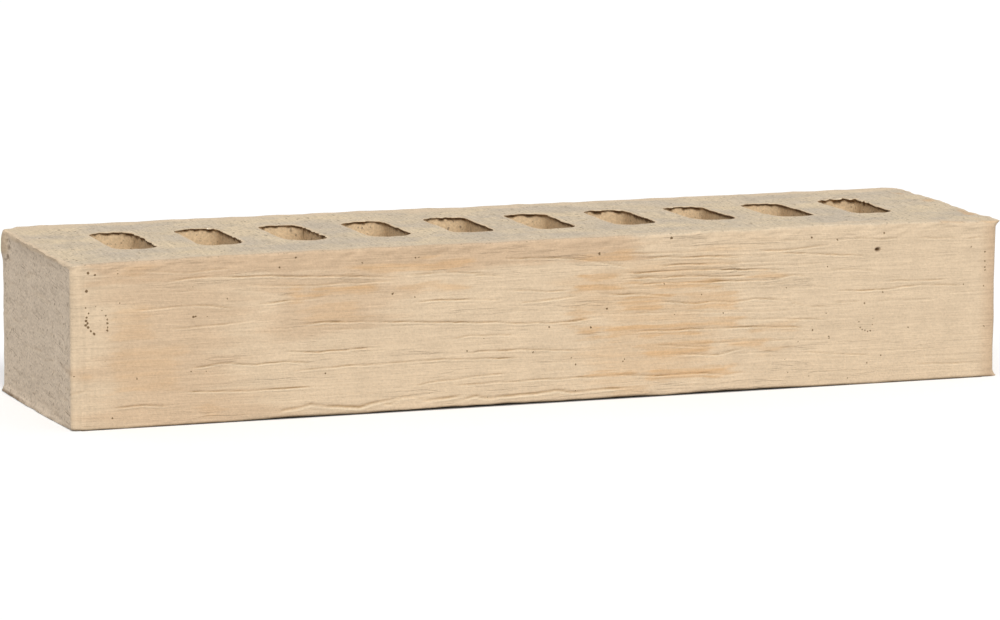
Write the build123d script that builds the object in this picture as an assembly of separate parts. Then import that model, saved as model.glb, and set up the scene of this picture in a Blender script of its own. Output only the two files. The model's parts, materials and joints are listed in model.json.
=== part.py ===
from build123d import *

import os

# Long-format facing brick: one piece of extruded, wire-cut and fired clay.
#
# The clay column leaves the die with its slots already in it, so the outside
# and every slot wall run straight along the extrusion, here the Z axis. A wire
# then cuts the column into bricks. It leaves two flat bed faces, and at both
# ends of each cut it drags the clay out into a thin lip.
#
# Millimetres, +Z up. X runs along the brick, and -Y is the face that shows in
# the wall. The origin is the middle of the lower bed face.

# Outside of the brick
length = 390.0  # between the two end faces, without their lips
depth = 102.0  # front face to back face
height = 65.0  # lower bed face to upper bed face

# Upright edges, as the die rounds them
front_edge_radius = 3.5
back_edge_radius = 7.0

# Long edges of the two bed faces, dulled by handling while the clay was soft
bed_edge_radius = 1.2

# Lips that the wire pulls out of both ends, along the upper and lower bed face
upper_lip_reach = 1.9
upper_lip_height = 4.5
lower_lip_reach = 1.2
lower_lip_height = 3.2

# Row of slots through the brick, from bed face to bed face
slot_count = 10
slot_width = 18.5
slot_corner_radius = 7.0
left_end_wall = 27.5  # clay between the left end face and the first slot
right_end_wall = 31.5  # clay between the last slot and the right end face
face_shell = 29.0  # clay in front of the slots, and behind them
full_round = 0.49  # share of a slot's shorter side that a corner may take

# Sizes that follow from the ones above
slot_depth = depth - 2 * face_shell
slot_row = length - left_end_wall - right_end_wall
slot_row_middle = (left_end_wall - right_end_wall) / 2
slot_pitch = (slot_row - slot_width) / max(slot_count - 1, 1)
slot_corner = min(slot_corner_radius, full_round * min(slot_width, slot_depth))
overall_length = length + 2 * max(upper_lip_reach, lower_lip_reach)


def front_outline():
    """Outline of the brick seen from the front, its ends sweeping out into lips."""
    end = length / 2
    lower_tip = (end + lower_lip_reach, 0)
    lower_root = (end, lower_lip_height)
    upper_root = (end, height - upper_lip_height)
    upper_tip = (end + upper_lip_reach, height)
    with BuildLine() as outline:
        Line((0, 0), lower_tip)
        TangentArc(lower_root, lower_tip, tangent=(0, -1))
        Line(lower_root, upper_root)
        TangentArc(upper_root, upper_tip, tangent=(0, 1))
        Line(upper_tip, (0, height))
        mirror(about=Plane.YZ)
    return outline.line


def lipped_block():
    """The front outline carried through the depth, with its upright edges rounded."""
    with BuildPart() as block:
        with BuildSketch(Plane.XZ):
            with BuildLine():
                add(front_outline())
            make_face()
        extrude(amount=depth / 2, both=True)
        for side, radius in ((Axis.Y, back_edge_radius), (-Axis.Y, front_edge_radius)):
            face = block.faces().sort_by(side)[-1]
            fillet(face.edges().filter_by(Axis.X, reverse=True), radius)
    return block.part


def dulled_prism():
    """The brick's cross-section, long edges dulled, carried along its length."""
    with BuildPart() as prism:
        with BuildSketch(Plane.YZ):
            with Locations((0, height / 2)):
                RectangleRounded(depth, height, bed_edge_radius)
        extrude(amount=overall_length / 2, both=True)
    return prism.part


def slot_cores():
    """The clay that the die leaves out: one row of slots along the middle of the depth."""
    with BuildPart() as cores:
        with BuildSketch():
            with Locations((slot_row_middle, 0)):
                with GridLocations(slot_pitch, 0, slot_count, 1):
                    RectangleRounded(slot_width, slot_depth, slot_corner)
        extrude(amount=height)
    return cores.part


def build():
    """The finished brick: a block with lips, dulled long edges and its slots."""
    return (lipped_block() & dulled_prism()) - slot_cores()


os.makedirs("parts", exist_ok=True)
facing_brick = build()
export_step(facing_brick, "parts/facing_brick.step")
print("facing_brick", round(facing_brick.volume), "mm3", facing_brick.bounding_box().size)
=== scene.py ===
import json
import logging
import math
from collections.abc import Iterable, Sequence
from dataclasses import dataclass, field, fields, replace
from enum import Enum

import bpy
import numpy as np
from mathutils import Matrix, Vector
from mathutils.geometry import delaunay_2d_cdt
from mathutils.kdtree import KDTree


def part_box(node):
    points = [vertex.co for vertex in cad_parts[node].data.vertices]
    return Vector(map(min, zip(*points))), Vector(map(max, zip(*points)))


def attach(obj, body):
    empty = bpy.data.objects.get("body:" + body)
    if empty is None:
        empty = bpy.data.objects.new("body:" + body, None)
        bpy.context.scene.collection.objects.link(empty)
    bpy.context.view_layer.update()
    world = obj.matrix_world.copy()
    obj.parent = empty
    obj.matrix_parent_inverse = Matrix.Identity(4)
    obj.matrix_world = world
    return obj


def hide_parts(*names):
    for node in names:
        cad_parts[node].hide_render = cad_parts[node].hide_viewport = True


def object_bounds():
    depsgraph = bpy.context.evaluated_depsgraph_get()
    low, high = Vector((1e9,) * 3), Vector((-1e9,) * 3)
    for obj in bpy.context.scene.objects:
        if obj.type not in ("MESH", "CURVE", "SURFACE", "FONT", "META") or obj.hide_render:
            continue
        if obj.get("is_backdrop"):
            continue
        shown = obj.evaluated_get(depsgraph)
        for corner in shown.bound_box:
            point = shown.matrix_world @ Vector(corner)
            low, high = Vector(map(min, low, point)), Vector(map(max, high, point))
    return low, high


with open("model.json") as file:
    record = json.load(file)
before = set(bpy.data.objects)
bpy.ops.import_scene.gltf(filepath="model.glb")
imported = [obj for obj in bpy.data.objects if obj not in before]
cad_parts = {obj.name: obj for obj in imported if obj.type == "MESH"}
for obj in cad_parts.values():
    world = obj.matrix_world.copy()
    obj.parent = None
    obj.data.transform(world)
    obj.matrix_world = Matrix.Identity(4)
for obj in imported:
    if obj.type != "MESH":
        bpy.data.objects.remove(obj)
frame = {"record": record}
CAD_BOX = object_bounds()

LOG = logging.getLogger("facing_brick")
NODE = "facing_brick"
MM = 0.001

Array = np.ndarray
Spot = tuple[float, float]
Socket = bpy.types.NodeSocket
Tree = bpy.types.NodeTree
Sockets = dict[str, Socket]


class Side(Enum):
    """The four upright sides of the brick, by the way that they look."""

    FRONT = (0.0, -1.0)
    RIGHT = (1.0, 0.0)
    BACK = (0.0, 1.0)
    LEFT = (-1.0, 0.0)


class Tone(Enum):
    """What a point of the clay looks like, each held as a mesh attribute from 0 to 1."""

    BED = "wire_cut_bed"
    END = "scored_end"
    # Kiln flash, and painted shade at the front's right corner
    BORE = "slot_wall"
    BLUSH = "kiln_blush"
    FLASH = "kiln_flash"
    LINED = "lined"
    # Painted shade in the grooves of creases
    HOLLOW = "hollow"
    # Painted highlight on the lips of creases and on the crumbs of slot rims
    PUSHED = "pushed_up"
    # Stains, and painted shade in pits, under the flap, along the foot and in the slots
    STAIN = "stain"
    SMEAR = "upright_smear"


def smooth_step(value: Array) -> Array:
    """Eases a value from 0 to 1 with no corner at either end.

    Args:
        value: Numbers, of which only 0 to 1 is eased.

    Returns:
        The eased numbers, 0 below the range and 1 above it.
    """
    kept = np.clip(value, 0.0, 1.0)
    return kept * kept * (3.0 - 2.0 * kept)


def hump(gap: Array) -> Array:
    """A smooth rise of height 1 at 0 that dies away about 2 either side."""
    return np.exp(-gap * gap)


class Grain:
    """Seeded smooth noise over a face, for all that clay does by chance."""

    CELLS = 256
    FULL_SWING = 1.5
    LAYER_SHIFT = 17.3

    def __init__(self, seed: int) -> None:
        """Draws the slopes that the noise runs through.

        Args:
            seed: Any whole number. The same one gives the same noise.
        """
        turns = np.random.default_rng(seed).uniform(0, 2 * np.pi, (self.CELLS, self.CELLS))
        self.slope_u = np.cos(turns)
        self.slope_v = np.sin(turns)

    def at(self, u: Array, v: Array) -> Array:
        """Noise from about -1 to 1 that changes over a distance of 1.

        Args:
            u: Places along the first direction, in cells.
            v: Places along the second direction, in cells.

        Returns:
            One number for each place.
        """
        col = np.floor(u).astype(int)
        row = np.floor(v).astype(int)
        into_u, into_v = u - col, v - row
        ease_u, ease_v = smooth_step(into_u), smooth_step(into_v)
        total = 0.0
        for step_u, step_v in ((0, 0), (1, 0), (0, 1), (1, 1)):
            cell = (row + step_v) % self.CELLS, (col + step_u) % self.CELLS
            rise = self.slope_u[cell] * (into_u - step_u) + self.slope_v[cell] * (into_v - step_v)
            share_u = ease_u if step_u else 1 - ease_u
            share_v = ease_v if step_v else 1 - ease_v
            total = total + rise * share_u * share_v
        return total * self.FULL_SWING

    def layered(self, u: Array, v: Array, layers: int = 3) -> Array:
        """Noise with finer noise on it, each layer twice as fine and half as strong.

        Args:
            u: Places along the first direction, in cells of the coarsest layer.
            v: Places along the second direction, in cells of the coarsest layer.
            layers: How many layers there are.

        Returns:
            One number for each place, from about -1.5 to 1.5.
        """
        total = 0.0
        for layer in range(layers):
            finer = 2.0**layer
            shift = self.LAYER_SHIFT * layer
            total = total + self.at(u * finer + shift, v * finer - shift) / finer
        return total

    def line(self, u: Array, row: float, layers: int = 3) -> Array:
        """Layered noise along one line.

        Args:
            u: Places along the line, in cells of the coarsest layer.
            row: Which line it is. Lines more than 1 apart have nothing in common.
            layers: How many layers there are.

        Returns:
            One number for each place.
        """
        return self.layered(u, np.full_like(u, row, dtype=float), layers)


@dataclass(frozen=True)
class Ripple:
    """One use of the noise: how strong it is, and how far it runs each way before it changes."""

    strength: float
    along: float
    across: float = 1.0
    shift_along: float = 0.0
    shift_across: float = 0.0
    layers: int = 3

    def over(self, grain: Grain, u: Array, v: Array) -> Array:
        """The ripple over a face.

        Args:
            grain: The noise.
            u: Places along the face, in mm.
            v: Places across it, in mm.

        Returns:
            One number for each place.
        """
        run_u = u / self.along + self.shift_along
        run_v = v / self.across + self.shift_across
        return self.strength * grain.layered(run_u, run_v, self.layers)

    def line(self, grain: Grain, u: Array, row: float = 0.0) -> Array:
        """The ripple along a line.

        Args:
            grain: The noise.
            u: Places along the line.
            row: Which line it is, counted from the ripple's own.

        Returns:
            One number for each place.
        """
        return self.strength * grain.line(u / self.along, row + self.shift_across, self.layers)


@dataclass(frozen=True)
class Ramp:
    """An eased change as a value goes from a start to an end, which may be the lower of the two."""

    start: float
    end: float
    first: float = 0.0
    last: float = 1.0

    def at(self, value: Array) -> Array:
        """Where on the ramp each value stands, from the first result to the last."""
        share = smooth_step((value - self.start) / (self.end - self.start))
        return self.first + (self.last - self.first) * share


@dataclass
class Sheet:
    """The outer skin of the brick, unrolled: columns run round it and rows go up it, in mm."""

    along: Array
    up: Array
    relief: Array = field(init=False)
    tones: dict[Tone, Array] = field(init=False)

    def __post_init__(self) -> None:
        """Starts with a flat sheet that has no marks on it."""
        shape = (len(self.up), len(self.along))
        self.relief = np.zeros(shape)
        self.tones = {tone: np.zeros(shape) for tone in Tone}

    def between(self, low: float, high: float) -> Array:
        """The numbers of the columns from one place along the sheet to another."""
        return np.flatnonzero((self.along >= low) & (self.along <= high))

    def deepen(self, tone: Tone, cols: Array, value: Array) -> None:
        """Raises a tone to a value where that is more than it has.

        Args:
            tone: The tone to raise.
            cols: The columns that the value covers.
            value: The new tone, one row for each row of the sheet.
        """
        self.tones[tone][:, cols] = np.maximum(self.tones[tone][:, cols], value)


@dataclass(frozen=True)
class Crease:
    """A line dragged into soft clay: a groove with the clay pushed up along its lower side, the groove
    painted darker as painted shade and the lip paler as a painted highlight.
    """

    path: tuple[Spot, ...]
    depth: float = 0.3
    width: float = 0.3
    wander: float = 0.3
    LIP_SHARE = 0.55
    LIP_SHIFT = 1.8
    LIP_SPREAD = 1.1
    END_TAPER = 10.0
    WANDER_LENGTH = 9.0
    UNEVEN = Ripple(0.4, 13.0, shift_across=0.5)
    UNEVEN_MEAN = 0.8
    UNEVEN_RANGE = (0.15, 1.2)
    FULL_DEPTH = 0.45
    # How dark the painted shade in the groove gets, and how pale the painted highlight on the lip gets
    DARKEST = 0.65
    PALEST = 0.55

    def press(self, sheet: Sheet, grain: Grain) -> None:
        """Presses the line into a sheet.

        Args:
            sheet: The sheet to mark.
            grain: The noise that makes the line wander.
        """
        along, up = np.array(self.path).T
        cols = sheet.between(along[0], along[-1])
        if not len(cols):
            return
        place = sheet.along[cols]
        centre = np.interp(place, along, up)
        centre += self.wander * grain.line(place / self.WANDER_LENGTH, up[0])
        share = (place - along[0]) / (along[-1] - along[0])
        taper = smooth_step(self.END_TAPER * np.minimum(share, 1 - share))
        taper *= np.clip(self.UNEVEN_MEAN + self.UNEVEN.line(grain, place, up[0]), *self.UNEVEN_RANGE)
        gap = (sheet.up[:, None] - centre[None, :]) / self.width
        groove = hump(gap) * taper
        lip = hump((gap + self.LIP_SHIFT) / self.LIP_SPREAD) * taper
        sheet.relief[:, cols] += self.depth * (self.LIP_SHARE * lip - groove)
        clear = min(1.0, self.depth / self.FULL_DEPTH)
        # Painted shade along the groove
        sheet.deepen(Tone.HOLLOW, cols, self.DARKEST * groove**2 * clear)
        # Painted highlight along the lip
        sheet.deepen(Tone.PUSHED, cols, self.PALEST * lip**2 * clear)


@dataclass(frozen=True)
class Scatter:
    """A lot of creases that fall by chance on one part of the outside, in mm."""

    count: int
    origins: tuple[float, ...]
    spread: Spot
    limit: float
    levels: Spot
    reaches: Spot
    depths: Spot
    slope: float
    width: float = 0.3
    FALL = -0.02
    SHORTEST = 1.0

    def creases(self, dice: np.random.Generator) -> Iterable[Crease]:
        """Throws the creases.

        Args:
            dice: Where the chance comes from.

        Returns:
            The creases, which fall a little to the right.
        """
        for _ in range(self.count):
            origin = dice.choice(self.origins) if len(self.origins) > 1 else self.origins[0]
            start = origin + dice.uniform(*self.spread)
            reach = dice.uniform(*self.reaches)
            level = dice.uniform(*self.levels)
            fall = self.FALL * reach + dice.normal(0, self.slope)
            stop = max(min(start + reach, self.limit), start + self.SHORTEST)
            yield Crease(((start, level), (stop, level + fall)), dice.uniform(*self.depths), self.width)


@dataclass(frozen=True)
class Dent:
    """A small round hole, or a lump where its depth is below 0, with a dark mark in it that is partly a stain
    and partly painted shade.
    """

    along: float
    up: float
    radius: float
    depth: float
    stain: float = 1.0
    stretch: float = 1.0
    REACH = 3.0

    def press(self, sheet: Sheet) -> None:
        """Presses the hole into a sheet.

        Args:
            sheet: The sheet to mark.
        """
        reach = self.REACH * self.radius * self.stretch
        cols = sheet.between(self.along - reach, self.along + reach)
        across = (sheet.along[cols] - self.along)[None, :] / (self.radius * self.stretch)
        upward = (sheet.up - self.up)[:, None] / self.radius
        bowl = np.exp(-((across**2 + upward**2) ** 2))
        sheet.relief[:, cols] -= self.depth * bowl
        sheet.deepen(Tone.STAIN, cols, self.stain * bowl)


@dataclass(frozen=True)
class Blush:
    """A patch of the front that the kiln turned peach, or another tone, in mm."""

    left: float
    right: float
    low: float
    high: float
    strength: float
    tone: Tone = Tone.BLUSH
    soft: float = 1.0
    SOFT_ALONG = 6.0
    SOFT_UP = 2.0
    FRAY = Ripple(5.0, 14.0, 1.8)

    def tint(self, sheet: Sheet, grain: Grain) -> None:
        """Colours a sheet.

        Args:
            sheet: The sheet to colour.
            grain: The noise that frays the patch's edges.
        """
        s, z = sheet.along[None, :], sheet.up[:, None]
        along, up = self.SOFT_ALONG * self.soft, self.SOFT_UP * self.soft
        fray = self.FRAY.over(grain, s / self.soft, z / self.soft) * self.soft
        in_along = np.minimum(s - self.left, self.right - s) + fray
        in_up = np.minimum(z - self.low, self.high - z) + fray * up / along
        inside = smooth_step(in_along / along) * smooth_step(in_up / up)
        sheet.deepen(self.tone, np.arange(len(sheet.along)), self.strength * inside)


# Read from the picture, in mm from the middle of the front's foot
FRONT_CREASES = (
    Crease(((-165, 60.5), (-147, 58.9), (-128, 60.2)), 0.3),
    Crease(((-160, 55.5), (-141, 57), (-115, 56), (-85, 54.6), (-60, 53)), 0.5),
    Crease(((-126, 53), (-100, 51.6), (-62, 52)), 0.25),
    Crease(((-169, 45.5), (-144, 46.3), (-127, 44.3)), 0.4),
    Crease(((-120, 45.3), (-110, 46), (-93, 46.6)), 0.35),
    Crease(((-155, 37.5), (-131, 38.3), (-122, 39)), 0.28),
    Crease(((-108, 36), (-93, 37.2), (-70, 36), (-30, 33.8), (0, 31.8), (8, 32), (24, 33.4)), 0.5),
    Crease(((-109, 26.3), (-95, 25.6), (-73, 26)), 0.6),
    Crease(((-147, 21.8), (-135, 23.3), (-120, 22), (-110, 22.5), (-96, 21.4)), 0.42),
    Crease(((-110, 18.5), (-90, 19.3), (-45, 19.8), (-33, 19.3), (-8, 18.5)), 0.42),
    Crease(((-150, 13), (-125, 12), (-95, 12)), 0.4),
    Crease(((-177, 8.2), (-165, 8.5), (-155, 7.8)), 0.6),
    Crease(((-190, 1.3), (-168, 0.9)), 0.3),
    Crease(((-60, 53.6), (-40, 54), (-28, 53.2), (-20, 52)), 0.35),
    Crease(((-31, 52.6), (-20, 51.6)), 0.5),
    Crease(((-56, 42.8), (-48, 43.5), (-18, 42.2)), 0.42),
    Crease(((-16, 45.8), (0, 44.3), (9, 44.5)), 0.42),
    Crease(((-13, 40.3), (0, 41), (13, 42.1)), 0.35),
    Crease(((-21, 58.5), (0, 57.7), (12, 57), (36, 52)), 0.4),
    Crease(((-41, 27.8), (-33, 28.6), (-14, 28)), 0.35),
    Crease(((-35, 20.3), (-30, 22.1), (-10, 22), (16, 20.2)), 0.5),
    Crease(((-56, 9.8), (-46, 11.2), (-17, 13)), 0.38),
    Crease(((-42, 9.2), (-10, 9.6), (28, 9.4)), 0.35),
    Crease(((31, 58), (50, 57.4), (72, 57.6)), 0.35),
    Crease(((40, 56), (60, 55.4), (84, 54.2)), 0.45),
    Crease(((46, 52.6), (60, 52.3), (82, 51.5)), 0.5),
    Crease(((30, 50), (60, 50.2), (90, 49), (103, 47.8)), 0.55),
    Crease(((33, 48), (60, 47.6), (87, 46.4)), 0.6),
    Crease(((33, 45.8), (75, 45), (95, 44.5), (105, 45.7), (115, 45.1)), 0.45),
    Crease(((20, 42.5), (45, 41), (54, 39.8)), 0.4),
    Crease(((42, 38.6), (60, 36.7), (70, 37), (78, 36.3), (88, 37.3), (102, 36)), 0.45),
    Crease(((102, 36.2), (106, 34.4), (112, 32.4), (119, 33)), 0.4),
    Crease(((33, 34), (60, 33.4), (90, 31.8), (107, 32)), 0.35),
    Crease(((32, 26.6), (60, 26.5), (85, 26), (113, 24.4)), 0.45),
    Crease(((78, 29.6), (95, 28.8), (121, 27.4)), 0.28),
    Crease(((45, 21), (70, 18.6)), 0.35),
    Crease(((60, 20.4), (90, 20.5), (121, 19)), 0.25),
    Crease(((54, 16.4), (72, 15.4), (80, 16.8), (87, 17.6)), 0.4),
    Crease(((26, 9.6), (45, 8.5), (68, 8.2), (76, 7), (82, 7.3)), 0.5),
    Crease(((88, 56.8), (96, 56), (121, 57.5)), 0.35),
    Crease(((98, 55.2), (110, 54.5), (137, 52.1)), 0.55),
    Crease(((121, 38.5), (147, 38.4), (160, 39.5), (181, 38.2)), 0.4),
    Crease(((145, 41.5), (173, 41)), 0.35),
    Crease(((124, 34), (134, 33.8)), 0.3),
    Crease(((109, 14.6), (120, 13.3), (139, 12)), 0.35),
    Crease(((130, 60), (143, 58.8), (151, 58.8)), 0.3),
    Crease(((159, 58.6), (177, 57.8)), 0.35),
    Crease(((181, 57.3), (191, 57.5)), 0.3),
    Crease(((120, 47.6), (141, 46)), 0.25),
    Crease(((159, 7), (189, 6)), 0.35),
    Crease(((-113, 1), (-109, 3.2), (-98, 5), (-85, 3.2), (-78, 2.8), (-70, 4.5), (-60, 6)), 0.6, 0.55, 0.5),
    Crease(((-70, 4), (-66, 3), (-60, 6), (-55, 5.5), (-51, 3.2), (-42, 4.3), (-35, 4.8)), 0.6, 0.55, 0.5),
    Crease(
        ((-39, 1.8), (-30, 4.4), (-25, 3), (-5, 4), (3, 5), (10, 3.6), (24, 4.2), (35, 4)), 0.5, 0.55, 0.5
    ),
)
FRONT_BLUSHES = (
    Blush(-190, 44, 54.5, 70, 0.55, Tone.FLASH, 1.6),
    Blush(-177, -148, -6, 54, 0.3, Tone.FLASH, 2.0),
    Blush(-195, -112, -14, 64, 0.42, Tone.FLASH, 5.0),
    Blush(-130, -55, 26, 64, 0.4, Tone.FLASH, 4.0),
    Blush(169, 181, 64.2, 67, 0.55, soft=0.3),
    Blush(185, 196, 64.0, 67, 0.6, soft=0.3),
    Blush(8, 84, 4, 60, 0.3, soft=4.0),
    Blush(-180, -160, 33, 48, 0.3),
    Blush(-179, -148, 13, 32, 0.3),
    Blush(-189, -185, 12, 26, 0.4),
    Blush(-176, -160, 57, 64, 0.3),
    Blush(-145, -133, 2, 10, 0.3),
    Blush(-109, -98, 44, 53, 0.6),
    Blush(-101, -68, 47, 51.5, 0.7),
    Blush(-102, -74, 36, 45, 0.35),
    Blush(-84, -29, 54, 59.5, 0.55),
    Blush(-56, -44, 59, 63, 0.5),
    Blush(-66, -34, 46, 51, 0.45),
    Blush(11, 37, 54, 60, 0.6),
    Blush(10, 34, 47, 51.5, 0.85),
    Blush(8, 54, 42.5, 47, 0.8),
    Blush(46, 76, 42, 47, 0.75),
    Blush(6, 20, 31, 39, 0.6),
    Blush(28, 54, 34, 42, 0.75),
    Blush(11, 24, 24.5, 30.5, 0.85),
    Blush(22, 66, 23, 31, 0.8),
    Blush(56, 84, 26, 31, 0.7),
    Blush(36, 72, 15, 23, 0.75),
    Blush(12, 40, 8, 12.5, 0.7),
    Blush(38, 82, 6, 12, 0.75),
    Blush(24, 46, 0, 5, 0.4),
    Blush(56, 82, 33, 42, 0.6),
    Blush(72, 96, 17, 22, 0.6),
    Blush(84, 106, 23, 28, 0.5),
    Blush(84, 104, 44.5, 48.5, 0.5),
    Blush(88, 106, 14, 18, 0.4),
)


@dataclass
class Outline:
    """A closed outline in plan as it grows, run anticlockwise, in mm."""

    points: list[Spot] = field(default_factory=list)
    normals: list[Spot] = field(default_factory=list)
    fine: list[bool] = field(default_factory=list)

    def run(self, start: Spot, end: Spot, shares: Iterable[float], side: Side, is_fine: bool = False) -> None:
        """Adds points along a straight side.

        Args:
            start: Where the side starts.
            end: Where it ends.
            shares: How far along each point stands, from 0 up to less than 1.
            side: The way that the side looks.
            is_fine: Whether the points carry columns with every row.
        """
        for share in shares:
            self.points.append(tuple(a + (b - a) * share for a, b in zip(start, end)))
            self.normals.append(side.value)
            self.fine.append(is_fine)

    def turn(self, centre: Spot, radius: float, start_deg: float, steps: int, is_fine: bool = False) -> None:
        """Adds the points of a quarter round, without its last one.

        Args:
            centre: The middle of the round.
            radius: Its radius.
            start_deg: Where it starts, anticlockwise from +X.
            steps: How many points it gets.
            is_fine: Whether the points carry columns with every row.
        """
        for i in range(steps):
            angle = math.radians(start_deg + 90 * i / steps)
            way = (math.cos(angle), math.sin(angle))
            self.points.append((centre[0] + radius * way[0], centre[1] + radius * way[1]))
            self.normals.append(way)
            self.fine.append(is_fine)


def add_object(name: str, data: bpy.types.ID) -> bpy.types.Object:
    """Puts a mesh, a camera or a lamp into the scene.

    Args:
        name: The name of the object.
        data: What it shows.

    Returns:
        The new object.
    """
    made = bpy.data.objects.new(name, data)
    bpy.context.scene.collection.objects.link(made)
    return made


def even_shares(length: float, step: float) -> Array:
    """Shares of a straight side about one step apart, from 0 up to less than 1."""
    return np.linspace(0, 1, max(1, round(length / step)), endpoint=False)


@dataclass
class MeshDraft:
    """The brick's mesh as it grows: points in mm, their tones, and the faces between them."""

    points: list[Array] = field(default_factory=list)
    tones: dict[Tone, list[Array]] = field(default_factory=lambda: {tone: [] for tone in Tone})
    faces: list[Sequence[int]] = field(default_factory=list)
    count: int = 0
    SHARP_DEG = 60.0

    def add_points(self, points: Array, tones: dict[Tone, Array]) -> Array:
        """Adds points and says where they went.

        Args:
            points: One row of x, y, z for each point.
            tones: The tones that these points have. The others are 0.

        Returns:
            The number of each point in the mesh.
        """
        numbers = np.arange(self.count, self.count + len(points))
        self.points.append(points)
        for tone in Tone:
            self.tones[tone].append(tones.get(tone, np.zeros(len(points))))
        self.count += len(points)
        return numbers

    def strip(self, left: Sequence[int], right: Sequence[int]) -> None:
        """Joins two columns of points that look outward, one of them perhaps half as fine.

        Args:
            left: The left-hand column from the bottom up.
            right: The right-hand column from the bottom up.
        """
        if len(left) == len(right):
            for i in range(len(left) - 1):
                self.faces.append((left[i], right[i], right[i + 1], left[i + 1]))
        elif len(left) > len(right):
            for i in range(len(right) - 1):
                fine = left[2 * i : 2 * i + 3]
                self.faces.append((fine[0], right[i], right[i + 1], fine[2], fine[1]))
        else:
            for i in range(len(left) - 1):
                fine = right[2 * i : 2 * i + 3]
                self.faces.append((left[i], fine[0], fine[1], fine[2], left[i + 1]))

    def to_object(self, name: str) -> bpy.types.Object:
        """Makes the mesh and its object, in metres.

        Args:
            name: The name of the object.

        Returns:
            The new object, in the scene.
        """
        mesh = bpy.data.meshes.new(name)
        mesh.from_pydata((np.concatenate(self.points) * MM).tolist(), [], self.faces)
        for tone, blocks in self.tones.items():
            layer = mesh.attributes.new(tone.value, "FLOAT", "POINT")
            layer.data.foreach_set("value", np.concatenate(blocks).astype(np.float32))
        mesh.shade_smooth()
        mesh.set_sharp_from_angle(angle=math.radians(self.SHARP_DEG))
        mesh.validate()
        return add_object(name, mesh)


def hex_to_linear(code: str) -> tuple[float, float, float, float]:
    """Turns an sRGB colour into the linear one that shaders take.

    Args:
        code: Six hex digits, with or without a hash in front.

    Returns:
        Linear red, green and blue, and an alpha of 1.
    """
    digits = code.lstrip("#")
    shares = [int(digits[i : i + 2], 16) / 255 for i in (0, 2, 4)]
    linear = [s / 12.92 if s <= 0.04045 else ((s + 0.055) / 1.055) ** 2.4 for s in shares]
    return (linear[0], linear[1], linear[2], 1.0)


def add_node(
    tree: Tree, kind: str, links: dict[str | int, object] | None = None, **settings: object
) -> bpy.types.Node:
    """Adds a node, sets it up and links it.

    Args:
        tree: The node tree.
        kind: The node's type.
        links: For each input, a value to set or an output socket to link.
        settings: The node's own properties.

    Returns:
        The new node.
    """
    node = tree.nodes.new(kind)
    for key, value in settings.items():
        setattr(node, key, value)
    for key, value in (links or {}).items():
        if isinstance(value, Socket):
            tree.links.new(value, node.inputs[key])
        else:
            node.inputs[key].default_value = value
    return node


def empty_nodes(owner: bpy.types.Material | bpy.types.World) -> Tree:
    """Gives a material or a sky an empty node tree.

    Args:
        owner: The material or sky.

    Returns:
        Its node tree.
    """
    owner.use_nodes = True
    owner.node_tree.nodes.clear()
    return owner.node_tree


def computed(tree: Tree, operation: str, *values: object) -> Socket:
    """Adds a sum.

    Args:
        tree: The node tree.
        operation: What to work out.
        values: One to three numbers or output sockets.

    Returns:
        The result.
    """
    return add_node(tree, "ShaderNodeMath", dict(enumerate(values)), operation=operation).outputs[0]


def graded(tree: Tree, value: Socket, span: Spot, to: Spot = (0.0, 1.0), **settings: object) -> Socket:
    """Maps a value from one span to another and holds it there.

    Args:
        tree: The node tree.
        value: The value to map.
        span: The two ends that it comes from.
        to: The two ends that it goes to.
        settings: The node's own properties.

    Returns:
        The mapped value.
    """
    links = {"Value": value, "From Min": span[0], "From Max": span[1], "To Min": to[0], "To Max": to[1]}
    return add_node(tree, "ShaderNodeMapRange", links, **settings).outputs["Result"]


def blended(tree: Tree, share: object, under: object, over: object, blend: str = "MIX") -> Socket:
    """Lays one colour over another.

    Args:
        tree: The node tree.
        share: How much of the upper colour shows.
        under: The colour so far.
        over: The colour to lay over it.
        blend: How the two go together.

    Returns:
        The new colour.
    """
    layers = {0: share, 6: under, 7: over}
    return add_node(tree, "ShaderNodeMix", layers, data_type="RGBA", blend_type=blend).outputs[2]


def seen_rays(tree: Tree) -> Socket:
    """Tells the rays that see the white behind the brick from those that light it.

    Args:
        tree: The nodes of the floor's material or of the sky.

    Returns:
        1 for a ray that the eye sees, straight or in a reflection, and 0 for the rest.
    """
    path = add_node(tree, "ShaderNodeLightPath")
    seen = path.outputs["Is Camera Ray"]
    for ray in ("Is Glossy Ray", "Is Transmission Ray"):
        seen = computed(tree, "MAXIMUM", seen, path.outputs[ray])
    return seen


@dataclass(frozen=True)
class Pattern:
    """A noise in the clay, by how far it runs each way before it changes, in mm."""

    x: float
    y: float
    z: float
    detail: float = 3.0
    turn_deg: float = 0.0
    lean_deg: float = 0.0


@dataclass(frozen=True)
class Fleck:
    """A dark grain of grit in the front, in mm from the middle of the front's foot."""

    along: float
    up: float
    radius: float


RUBBED_RING = (
    Fleck(-187.4, 47.4, 0.4), Fleck(-186.2, 45.2, 0.5), Fleck(-187.0, 43.6, 0.6),
    Fleck(-187.2, 42.4, 0.75), Fleck(-186.7, 41.4, 0.7), Fleck(-187.4, 40.7, 0.75),
    Fleck(-186.5, 39.8, 0.75), Fleck(-185.5, 38.4, 0.6), Fleck(-184.2, 37.2, 0.8),
    Fleck(-183.3, 47.6, 0.25), Fleck(-181.0, 46.0, 0.25), Fleck(-179.5, 44.1, 0.5),
    Fleck(-179.0, 42.6, 0.5), Fleck(-178.9, 41.0, 0.55), Fleck(-178.9, 39.4, 0.5),
    Fleck(-179.1, 38.3, 0.6),
)
FAINT_RING = (
    Fleck(133.7, 25.6, 0.2), Fleck(134.3, 23.2, 0.24), Fleck(135.2, 22.3, 0.22),
    Fleck(136.5, 22.0, 0.32), Fleck(137.6, 21.4, 0.36), Fleck(138.8, 21.8, 0.3),
    Fleck(139.8, 24.2, 0.2), Fleck(139.8, 26.6, 0.22),
)
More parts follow.
